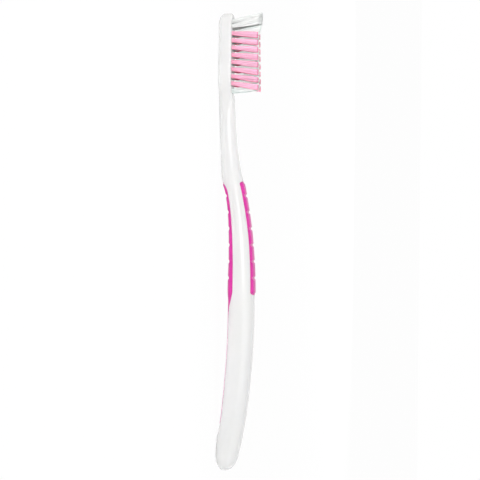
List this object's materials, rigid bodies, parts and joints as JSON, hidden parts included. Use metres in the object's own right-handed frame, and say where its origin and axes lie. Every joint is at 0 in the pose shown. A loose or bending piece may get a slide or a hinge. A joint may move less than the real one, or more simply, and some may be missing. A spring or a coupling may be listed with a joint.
{
  "type": "manual toothbrush",
  "caption": "Manual toothbrush lying on its back, with an arched glossy handle, soft ribbed grips on both faces, a slim neck and a flat head of bristle tufts, slanted at the toe.",
  "frame": {"origin": "on the surface that the brush lies on, under the middle of its bounding box; the brush lies on the back of its head and tail", "axes": "+X from the tail to the toe of the head, +Z the way the bristles stand, +Y across the brush"},
  "size_m": [0.1906, 0.0132, 0.0177],
  "materials": {
    "handle_plastic": "moulded polypropylene, opaque white, glossy",
    "grip_rubber": "moulded thermoplastic elastomer, magenta pink, satin",
    "pink_bristle": "nylon filament, pale pink, translucent",
    "clear_bristle": "nylon filament, natural, translucent",
    "white_bristle": "nylon filament, white, translucent",
    "staple_wire": "drawn flat wire, bare"
  },
  "bodies": {
    "root": {"handle": "handle_plastic", "front_grip": "grip_rubber", "back_grip": "grip_rubber", "pink_tufts_row_1": "pink_bristle", "pink_tufts_row_2": "pink_bristle", "pink_tufts_row_3": "pink_bristle", "pink_tufts_row_4": "pink_bristle", "pink_tufts_row_5": "pink_bristle", "pink_tufts_row_6": "pink_bristle", "pink_tufts_row_7": "pink_bristle", "pink_tufts_row_8": "pink_bristle", "clear_tufts_row_1": "clear_bristle", "clear_tufts_row_2": "clear_bristle", "clear_tufts_row_3": "clear_bristle", "clear_tufts_row_4": "clear_bristle", "clear_tufts_row_5": "clear_bristle", "clear_tufts_row_6": "clear_bristle", "clear_tufts_row_7": "clear_bristle", "clear_tufts_row_8": "clear_bristle", "heel_tufts": "clear_bristle", "toe_tufts_inner": "white_bristle", "toe_tufts_tip": "white_bristle", "tuft_staples": "staple_wire"}
  },
  "joints": []
}
